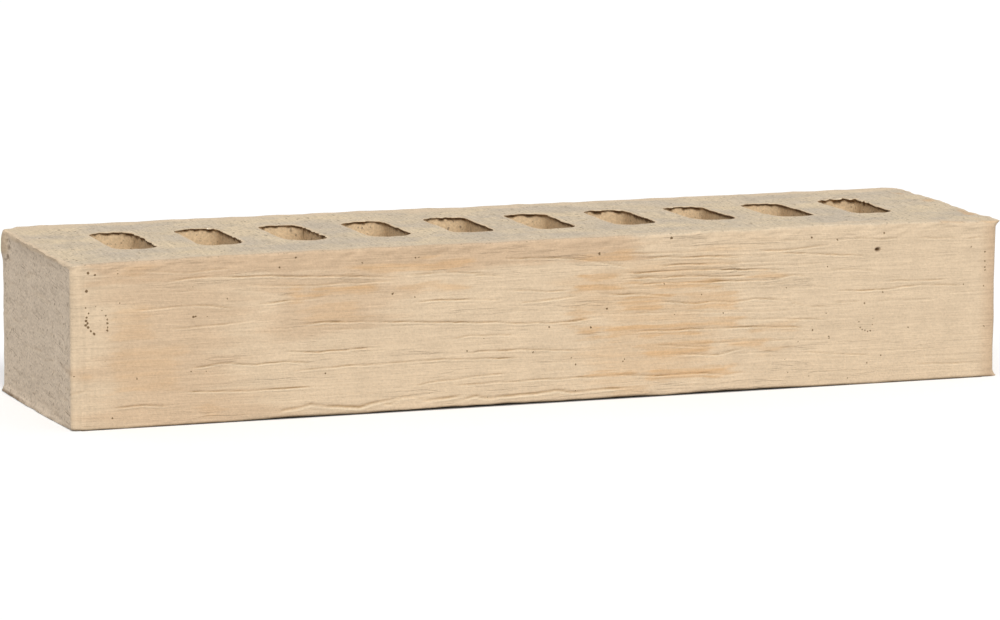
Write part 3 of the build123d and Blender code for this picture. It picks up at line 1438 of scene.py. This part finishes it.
    def creases(self) -> Iterable[Crease]:
        """The drag lines of the outside: the main ones of the front listed, the rest by chance.

        Returns:
            The creases, places from the middle of the front and heights from the floor.
        """
        yield from FRONT_CREASES
        half_l, end = self.length / 2, self.length / 2 + self.depth
        top = self.height - 4
        across = (-half_l + 8, half_l - 20)
        ends, backs = (-end + 4, half_l + 2), (-end - half_l + 8, end + 4)
        by_chance = (
            Scatter(110, (0,), across, half_l - 4, (3, top - 1), (8, 45), (0.03, 0.12), 0.5),
            Scatter(30, (0,), (0, 100), half_l, (34, top), (12, 45), (0.06, 0.2), 0.5),
            Scatter(120, ends, (0, self.depth - 8), math.inf, (2, top), (4, 14), (0.08, 0.2), 1.2, 0.6),
            Scatter(90, backs, (0, half_l - 60), math.inf, (3, top), (14, 48), (0.15, 0.4), 0.8, 0.95),
        )
        for scatter in by_chance:
            yield from scatter.creases(self.dice)

    def dents(self) -> Iterable[Dent]:
        """The small holes and lumps of the outside.

        Returns:
            The dents, places from the middle of the front and heights from the floor.
        """
        yield self.pinhole
        yield self.corner_stain
        half_l, end = self.length / 2, self.length / 2 + self.depth
        for mark in self.FLAP_MARKS:
            yield replace(mark, along=mark.along - end)
        for _ in range(self.END_DENTS):
            side = self.dice.choice((-1, 1))
            place = side * self.dice.uniform(half_l + 3, end - 3)
            size = self.dice.uniform(0.5, 0.9)
            yield Dent(place, self.dice.uniform(3, self.height - 4), size, 0.3, 0.25, 1.8)

    def bed_relief(self, x: Array, y: Array) -> Array:
        """How far the upper, wire-cut bed stands up.

        Args:
            x: Places along the brick.
            y: Places across the brick.

        Returns:
            One height for each place.
        """
        half_l = self.length / 2
        wave = self.BED_WAVE.over(self.grain, x, y) + self.BED_LUMPS.over(self.grain, x, y)
        worn = self.WORN_CORNER.at(np.hypot(x + half_l, y - self.depth / 2))
        heap_x, heap_y = np.add(self.slot_centres[-1], self.RUBBLE_FROM_SLOT)
        near_last = hump(np.hypot(x - heap_x, y - heap_y) / self.RUBBLE_REACH)
        rubble = near_last * np.clip(self.RUBBLE.over(self.grain, x, y), 0.0, None)
        places = (-half_l, -half_l + 25, -100, 40, 110, 150, half_l - 20, half_l)
        crown = np.interp(x, places, (-1.4, -0.8, -0.2, 0.0, 0.7, 0.3, -0.6, -1.5))
        return wave + rubble - worn + crown * self.CROWN_FRONT.at(y)

    def edge_blush(self, x: Array, y: Array) -> Array:
        """How peach the upper bed is: only in spots along its right end.

        Args:
            x: Places along the brick.
            y: Places across the brick.

        Returns:
            The blush for each place.
        """
        spots = self.SPOT_EDGE.at(self.BLUSH_SPOTS.over(self.grain, x, y))
        return spots * self.BLUSH_END.at(x - self.length / 2)

    def bed_tone(self, x: Array, y: Array) -> Array:
        """How grey the upper bed is: less so in patches along its long edges and its left end.

        Args:
            x: Places along the brick.
            y: Places across the brick.

        Returns:
            The bed's tone for each place.
        """
        patchy = self.BED_PATCHES.over(self.grain, x, y)
        front = self.PALE_FRONT.at(y + self.depth / 2 - self.FRONT_PATCH * patchy)
        back = self.PALE_BACK.at(self.depth / 2 - y - self.BACK_PATCH * patchy)
        left = self.PALE_LEFT.at(x + self.length / 2 - self.LEFT_PATCH * patchy)
        return front * back * left

    def under_relief(self, x: Array, y: Array) -> Array:
        """How far the lower bed stands off the floor: the front of its middle is bowed up.

        Args:
            x: Places along the brick.
            y: Places across the brick.

        Returns:
            One height for each place.
        """
        bow = np.interp(x, *self.BOW) * self.BOW_FRONT.at(y)
        uneven = np.clip(1.0 + self.BOW_UNEVEN.over(self.grain, x, y), self.BOW_LEAST, None)
        return np.maximum(bow, self.LEFT_OFF_FLOOR.at(x + self.length / 2)) * uneven

    def build_outside(self) -> tuple[list[int], list[int]]:
        """Adds the four upright sides.

        Returns:
            The numbers of the points along the lower edge and along the upper edge.
        """
        outline = self.plan()
        spots, normals = np.array(outline.points), np.array(outline.normals)
        along, up = self.unrolled(spots), self.rows()
        sheet = self.skin_sheet(along, normals, up)
        out = self.edge_profile(normals, up, along) + sheet.relief * self.SMOOTH_FOOT.at(up)[:, None]
        jag = np.where(along > self.length / 2, self.BACK_JAG_HEIGHT, self.JAG_HEIGHT)
        lift = self.bed_relief(spots[:, 0], spots[:, 1]) + jag * self.JAGS.line(self.grain, along)
        rest = self.under_relief(spots[:, 0], spots[:, 1])
        near_top, near_floor = self.LIFT_TOP.at(self.height - up), self.LIFT_FOOT.at(up)
        columns: list[Array] = []
        for i, spot in enumerate(spots):
            step = 1 if outline.fine[i] else 2
            flat = spot[None, :] + normals[i][None, :] * out[::step, i][:, None]
            heights = (up + lift[i] * near_top + rest[i] * near_floor)[::step]
            tones = {tone: values[::step, i] for tone, values in sheet.tones.items()}
            columns.append(self.draft.add_points(np.column_stack((flat, heights)), tones))
        for i in range(len(columns)):
            self.draft.strip(columns[i], columns[(i + 1) % len(columns)])
        return [int(c[0]) for c in columns], [int(c[-1]) for c in columns]

    def slot_outline(self) -> tuple[Array, Array]:
        """Outline of a slot about its own middle, run clockwise so that its walls look inward.

        Returns:
            Points, and normals into the slot.
        """
        half_w, half_d, r = self.slot_width / 2, self.slot_depth / 2, self.slot_corner
        short = even_shares(self.slot_width - 2 * r, self.slot_side_step)
        long = even_shares(self.slot_depth - 2 * r, self.slot_side_step)
        steps = self.slot_arc_steps
        made = Outline()
        made.run((half_w - r, half_d), (-half_w + r, half_d), short, Side.BACK)
        made.turn((-half_w + r, half_d - r), r, 90, steps)
        made.run((-half_w, half_d - r), (-half_w, -half_d + r), long, Side.LEFT)
        made.turn((-half_w + r, -half_d + r), r, 180, steps)
        made.run((-half_w + r, -half_d), (half_w - r, -half_d), short, Side.FRONT)
        made.turn((half_w - r, -half_d + r), r, 270, steps)
        made.run((half_w, -half_d + r), (half_w, half_d - r), long, Side.RIGHT)
        made.turn((half_w - r, half_d - r), r, 0, steps)
        return np.array(made.points)[::-1], -np.array(made.normals)[::-1]

    def build_slot(self, centre: Spot, number: int) -> tuple[list[int], list[int]]:
        """Adds the walls of one slot, with the burr that the wire dragged over its back and right rim, a
        painted shadow under that rim, painted shade on its right wall and painted highlights on the rim's
        crumbs.

        Args:
            centre: The middle of the slot, in plan.
            number: Which slot it is, so that no two are alike.

        Returns:
            The numbers of the points along the lower rim and along the upper rim.
        """
        outline, normals = self.slot_outline()
        grain, down = self.grain, np.array((*self.SLOT_ROWS, self.height))
        turn = np.arange(len(outline), dtype=float)
        row = self.NOISE_ROW + self.NOISE_ROW_STEP * number
        calm, drips = self.ROUGH_WALL if number < self.ROUGH_SLOTS else self.SMOOTH_WALL
        is_last = number == len(self.slot_centres) - 1
        right = np.clip(-normals[:, 0], 0, 1)
        dragged = np.clip(normals @ np.array(self.DRAG_WAY), 0, 1)
        rag = self.RIM_RAG.line(grain, turn, row) * (1 - right * calm)
        burr = self.BURR_LEAST + self.BURR_DRAGGED * dragged
        burr *= np.clip(self.BURR_MEAN + self.BURR_RAG * rag, 0.0, None)
        burr *= self.LAST_BURR if is_last else 1.0
        profile = np.interp(down, *self.BURR_PROFILE)
        groove = self.WALL_GROOVES.line(grain, turn, row)
        drip = self.DRIP_EDGE.at(self.DRIPS.line(grain, turn, row)) * right * drips
        # How far down and how dark the painted shadow under the rim goes
        reach = np.clip(1.0 + self.GRIME_RAG * rag, self.GRIME_LEAST, None)
        reach *= 1 + self.GRIME_RIGHT * right + self.GRIME_DRIP * drip
        grime = np.clip(1.0 + self.RIM_GRIME.line(grain, turn, row), *self.RIM_RANGE)
        grime *= np.clip(dragged * self.RIM_DRAGGED, 0, 1)
        # Pale crumbs along the dragged rim, painted as highlights
        crumbs = dragged * self.CRUMB_EDGE.at(rag)
        rings: list[Array] = []
        for i, depth in enumerate(down):
            step = 1 if depth < self.FINE_DEPTH else 2
            out = burr * profile[i] + groove * self.GROOVE_TOP.at(depth)
            flat = np.array(centre) + outline + normals * out[:, None]
            lift = self.bed_relief(flat[:, 0], flat[:, 1]) * max(0.0, 1 - depth / self.RIM_LIFT)
            points = np.column_stack((flat, self.height - depth + lift))
            # Painted shadow under the burr of the rim
            dark = np.interp(depth / reach, *self.RIM_DARK) * grime
            tan = self.TAN_TOP.at(depth)
            tones = {
                Tone.BORE: np.maximum(tan, self.TAN_RIM * dragged),
                Tone.BED: np.full(len(points), self.GREY_RIM * (1 - tan)),
                # Painted highlight on the rim's crumbs
                Tone.PUSHED: crumbs * max(0.0, 1 - depth / self.CRUMB_DEPTH),
                # Painted shadow under the rim and painted shade on the right wall
                Tone.STAIN: np.maximum(self.RIM_STAIN * dark, right * self.WALL_SHADE.at(depth)),
            }
            kept = {tone: values[::step] for tone, values in tones.items()}
            rings.append(self.draft.add_points(points[::step], kept))
        for upper, lower in zip(rings, rings[1:]):
            self.draft.strip(np.append(upper, upper[0]), np.append(lower, lower[0]))
        return [int(n) for n in rings[-1]], [int(n) for n in rings[0]]

    def build_bed(self, outer: list[int], slots: list[list[int]], step: float, is_top: bool) -> None:
        """Fills one bed face between its outer edge and its slots.

        Args:
            outer: The points along the outer edge.
            slots: The points along each slot's rim.
            step: How far apart the points between them are.
            is_top: Whether it is the upper bed.
        """
        points = np.concatenate(self.draft.points)
        loops = [outer, *slots]
        rim = [n for loop in loops for n in loop]
        owner = {n: i for i, loop in enumerate(loops) for n in loop}
        edges, start = [], 0
        for loop in loops:
            edges += [(start + i, start + (i + 1) % len(loop)) for i in range(len(loop))]
            start += len(loop)
        tree = KDTree(len(rim))
        for i, number in enumerate(rim):
            tree.insert((points[number][0], points[number][1], 0.0), i)
        tree.balance()
        half_l, half_d = self.length / 2, self.depth / 2
        spread = []
        for j, y in enumerate(np.arange(-half_d, half_d, step * math.sqrt(3) / 2)):
            for x in np.arange(-half_l, half_l, step) + (j % 2) * step / 2:
                if not self.in_a_slot(x, y) and tree.find((x, y, 0.0))[2] > self.CLEAR_OF_RIM * step:
                    spread.append((x, y))
        inner = np.array(spread)
        x, y = inner.T
        if is_top:
            heights = self.bed_relief(x, y) + self.height
            tones = {Tone.BED: self.bed_tone(x, y), Tone.BLUSH: self.edge_blush(x, y)}
        else:
            heights = self.under_relief(x, y)
            tones = {Tone.BED: np.ones(len(inner))}
        numbers = self.draft.add_points(np.column_stack((inner, heights)), tones)
        flat = [Vector(points[n][:2]) for n in rim] + [Vector(p) for p in inner]
        every = rim + [int(n) for n in numbers]
        spots, _, faces, sources, _, _ = delaunay_2d_cdt(flat, edges, [], 1, self.SAME_POINT)
        for face in faces:
            corners = [every[sources[i][0]] for i in face]
            owners = {owner.get(n, -1) for n in corners}
            middle = sum((spots[i] for i in face), Vector((0, 0))) / len(face)
            only = owners.pop() if len(owners) == 1 else -1
            if only > 0 and self.inside(middle, points[loops[only]][:, :2]):
                continue
            self.draft.faces.append(corners if is_top else corners[::-1])

    def in_a_slot(self, x: float, y: float) -> bool:
        """Whether a place in plan lies in the box round one of the slots."""
        half_w, half_d = self.slot_width / 2, self.slot_depth / 2
        return any(abs(x - cx) < half_w and abs(y - cy) < half_d for cx, cy in self.slot_centres)

    def inside(self, spot: Vector, loop: Array) -> bool:
        """Whether a place in plan lies inside a closed loop.

        Args:
            spot: The place.
            loop: The loop's points in order.

        Returns:
            True where a line from the place crosses the loop an odd number of times.
        """
        here, there = loop, np.roll(loop, -1, axis=0)
        spans = (here[:, 1] > spot.y) != (there[:, 1] > spot.y)
        a, b = here[spans], there[spans]
        cross = a[:, 0] + (spot.y - a[:, 1]) * (b[:, 0] - a[:, 0]) / (b[:, 1] - a[:, 1])
        return bool(np.count_nonzero(cross > spot.x) % 2)

    def build(self) -> bpy.types.Object:
        """Builds the whole brick.

        Returns:
            The finished object, without its material.
        """
        lower, upper = self.build_outside()
        rims = [self.build_slot(centre, i) for i, centre in enumerate(self.slot_centres)]
        self.build_bed(upper, [rim[1] for rim in rims], self.top_step, True)
        self.build_bed(lower, [rim[0] for rim in rims], self.under_step, False)
        return self.draft.to_object("brick_clay")

    def dress(self, piece: bpy.types.Object, clay: FiredBuffClay) -> None:
        """Gives the brick its clay and ties it to the frame.

        Args:
            piece: The brick.
            clay: The finish.
        """
        piece.data.materials.append(clay.material())
        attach(piece, "root")
        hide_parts(NODE)
        triangles = sum(len(p.vertices) - 2 for p in piece.data.polygons)
        LOG.info("%s: %d points, %d triangles", piece.name, len(piece.data.vertices), triangles)


@dataclass(frozen=True)
class Studio:
    """A pale floor, soft light and the camera that took the picture."""

    footprint_m: Spot
    camera_mm: tuple[float, float, float] = (-656.4, -1769.0, 327.4)
    yaw_deg: float = 20.319
    pitch_deg: float = 8.972
    roll_deg: float = 0.264
    lens_mm: float = 170.91
    sensor_mm: float = 36.0
    far_m: float = 100.0
    floor_side_m: float = 8.0
    floor_bounce: float = 0.6
    floor_white: float = 0.97
    # Floor under the brick, painted darker as painted shade
    covered_white: float = 0.4
    floor_lift: float = 0.08
    sky_level: float = 0.56
    key_from: tuple[float, float, float] = (-0.15, -0.70, 0.70)
    key_level: float = 0.62
    key_spread_deg: float = 24.0

    def camera(self) -> None:
        """Sets the camera at the picture's own viewpoint."""
        data = bpy.data.cameras.new("camera")
        data.sensor_width = self.sensor_mm
        data.lens = self.lens_mm
        data.clip_end = self.far_m
        made = add_object("camera", data)
        yaw, pitch = math.radians(self.yaw_deg), math.radians(self.pitch_deg)
        level = math.cos(pitch)
        ahead = Vector((math.sin(yaw) * level, math.cos(yaw) * level, -math.sin(pitch)))
        right = Vector((math.cos(yaw), -math.sin(yaw), 0))
        turn = Matrix((right, right.cross(ahead), -ahead)).transposed().to_4x4()
        roll = Matrix.Rotation(math.radians(self.roll_deg), 4, "Z")
        made.matrix_world = Matrix.Translation(Vector(self.camera_mm) * MM) @ turn @ roll
        bpy.context.scene.camera = made

    def floor(self) -> None:
        """Lays the floor, white to the eye and shaded by the brick, with no glow under the brick, where it is
        painted darker as painted shade.
        """
        h = self.floor_side_m / 2
        long, wide = self.footprint_m[0] / 2, self.footprint_m[1] / 2
        corners = [(x, y, 0.0) for y in (-h, -wide, wide, h) for x in (-h, -long, long, h)]
        tiles = [(4 * j + i, 4 * j + i + 1, 4 * j + i + 5, 4 * j + i + 4) for j in range(3) for i in range(3)]
        mesh = bpy.data.meshes.new("floor")
        mesh.from_pydata(corners, [], tiles)
        mesh.materials.append(self.white("white_floor", self.floor_white, self.floor_lift))
        # The tile under the brick is painted darker as painted shade
        mesh.materials.append(self.white("covered_floor", self.covered_white, 0.0))
        mesh.polygons[len(tiles) // 2].material_index = 1
        made = add_object("floor", mesh)
        made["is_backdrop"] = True

    def white(self, name: str, brightest: float, lift: float) -> bpy.types.Material:
        """Makes a white for the floor, whose bounce on the brick is duller than it looks.

        Args:
            name: The material's name.
            brightest: How white it is to the eye.
            lift: How much it glows to the eye, so that its shadows stay pale.

        Returns:
            The material.
        """
        made = bpy.data.materials.new(name)
        tree = empty_nodes(made)
        seen = seen_rays(tree)
        level = graded(tree, seen, (0.0, 1.0), (self.floor_bounce, brightest))
        strength = computed(tree, "MULTIPLY", seen, lift)
        matt = add_node(tree, "ShaderNodeBsdfDiffuse", {"Color": level}).outputs["BSDF"]
        bright = {"Color": (1, 1, 1, 1), "Strength": strength}
        glow = add_node(tree, "ShaderNodeEmission", bright).outputs["Emission"]
        both = add_node(tree, "ShaderNodeAddShader", {0: matt, 1: glow}).outputs["Shader"]
        add_node(tree, "ShaderNodeOutputMaterial", {"Surface": both})
        return made

    def light(self) -> None:
        """Sets a soft sky and one broad lamp above the front, a little to the left."""
        world = bpy.data.worlds.new("studio")
        bpy.context.scene.world = world
        tree = empty_nodes(world)
        level = graded(tree, seen_rays(tree), (0.0, 1.0), (self.sky_level, 1.0))
        sky = add_node(tree, "ShaderNodeBackground", {"Color": (1, 1, 1, 1), "Strength": level})
        add_node(tree, "ShaderNodeOutputWorld", {"Surface": sky.outputs["Background"]})
        lamp = bpy.data.lights.new("key", "SUN")
        lamp.energy = self.key_level * math.pi
        lamp.angle = math.radians(self.key_spread_deg)
        made = add_object("key", lamp)
        made.rotation_euler = (-Vector(self.key_from)).to_track_quat("-Z", "Y").to_euler()

    def build(self) -> None:
        """Sets up the whole studio."""
        bpy.context.scene.view_settings.view_transform = "Standard"
        self.camera()
        self.floor()
        self.light()
        LOG.info("studio: camera, floor and lamp")


def main() -> None:
    """Builds the brick and its studio."""
    logging.basicConfig(level=logging.INFO, format="%(name)s: %(message)s")
    low, high = (np.array(corner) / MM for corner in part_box(NODE))
    openings = [np.array(opening["box_m"]) / MM for opening in frame["record"]["physics"]["openings"]]
    centres = tuple((float(b[:, 0].mean()), float(b[:, 1].mean())) for b in openings)
    length, depth, height = (float(v) for v in high - low)
    brick = FacingBrick(height=height, depth=depth, overall_length=length, slot_centres=centres)
    brick.dress(brick.build(), FiredBuffClay())
    covered = brick.length - 2 * (brick.front_edge + brick.left_skew)
    Studio(footprint_m=(covered * MM, depth * MM)).build()
    both = {"cad": CAD_BOX, "seen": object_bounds()}
    {name: [[float(v) for v in corner] for corner in box] for name, box in both.items()}


if __name__ == "__main__":
    main()
